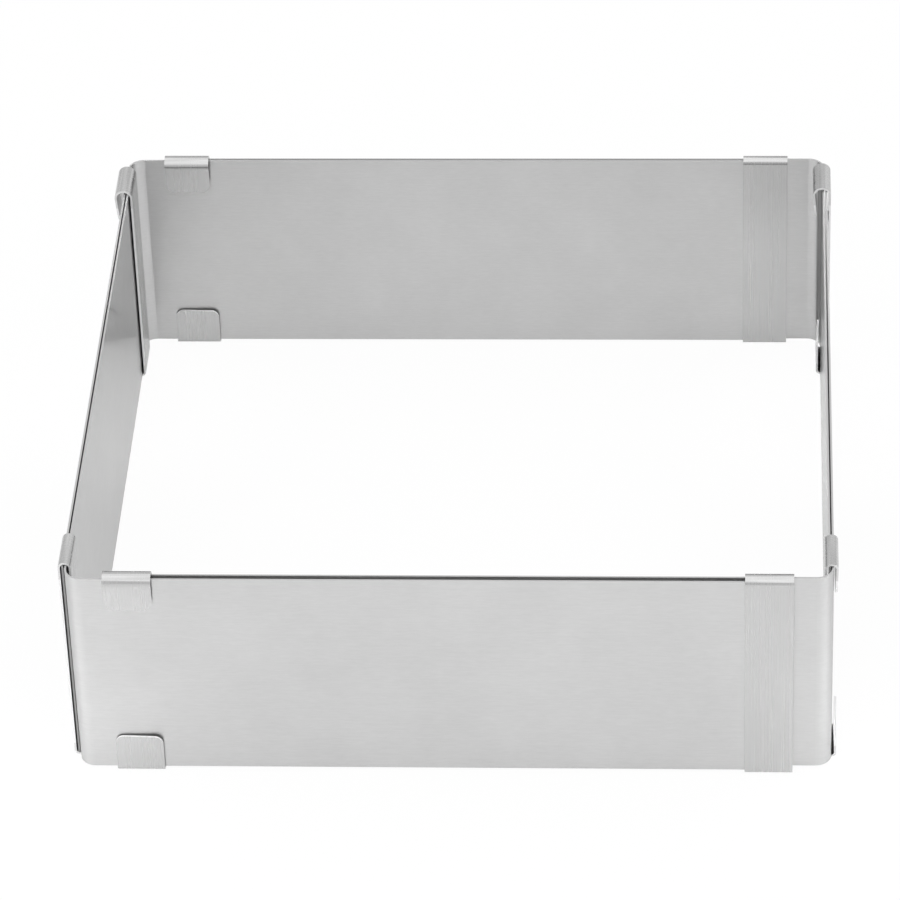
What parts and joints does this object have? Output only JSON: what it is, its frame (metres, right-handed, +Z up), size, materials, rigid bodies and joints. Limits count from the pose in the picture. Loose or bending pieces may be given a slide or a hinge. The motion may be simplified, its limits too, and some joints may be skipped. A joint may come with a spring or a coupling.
{
  "type": "adjustable cake frame",
  "caption": "Square sheet metal baking frame whose overlapping corners slide in strap clips, so that its width and length can be set.",
  "frame": {"origin": "on the table under the middle of the frame", "axes": "+X to the right along the front wall, +Y to the back wall, +Z up"},
  "size_m": [0.162, 0.1575, 0.0517],
  "materials": {
    "sheet_steel": "stainless sheet brushed along the walls",
    "strap_steel": "stainless strap brushed up and down"
  },
  "bodies": {
    "front_left_half": {"front_left_corner": "sheet_steel", "front_wall_right_clip": "strap_steel", "left_wall_back_clip": "strap_steel"},
    "front_right_half": {"front_right_corner": "sheet_steel", "right_wall_back_clip": "strap_steel", "front_wall_left_clip": "strap_steel"},
    "back_right_half": {"back_right_corner": "sheet_steel", "back_wall_left_clip": "strap_steel", "right_wall_front_clip": "strap_steel"},
    "back_left_half": {"back_left_corner": "sheet_steel", "left_wall_front_clip": "strap_steel", "back_wall_right_clip": "strap_steel"}
  },
  "joints": [
    {"name": "width_slide", "type": "slide", "parent": "front_left_half", "child": "front_right_half", "axis": [1, 0, 0], "range_m": [-0.0047, 0.1215]},
    {"name": "length_slide", "type": "slide", "parent": "front_left_half", "child": "back_left_half", "axis": [0, 1, 0], "range_m": [-0.0006, 0.1253]},
    {"name": "right_length_slide", "type": "slide", "parent": "front_right_half", "child": "back_right_half", "axis": [0, 1, 0], "range_m": [-0.0006, 0.1253]}
  ],
  "couplings": [
    {"joint": "right_length_slide", "follows": "length_slide", "ratio": 1}
  ]
}
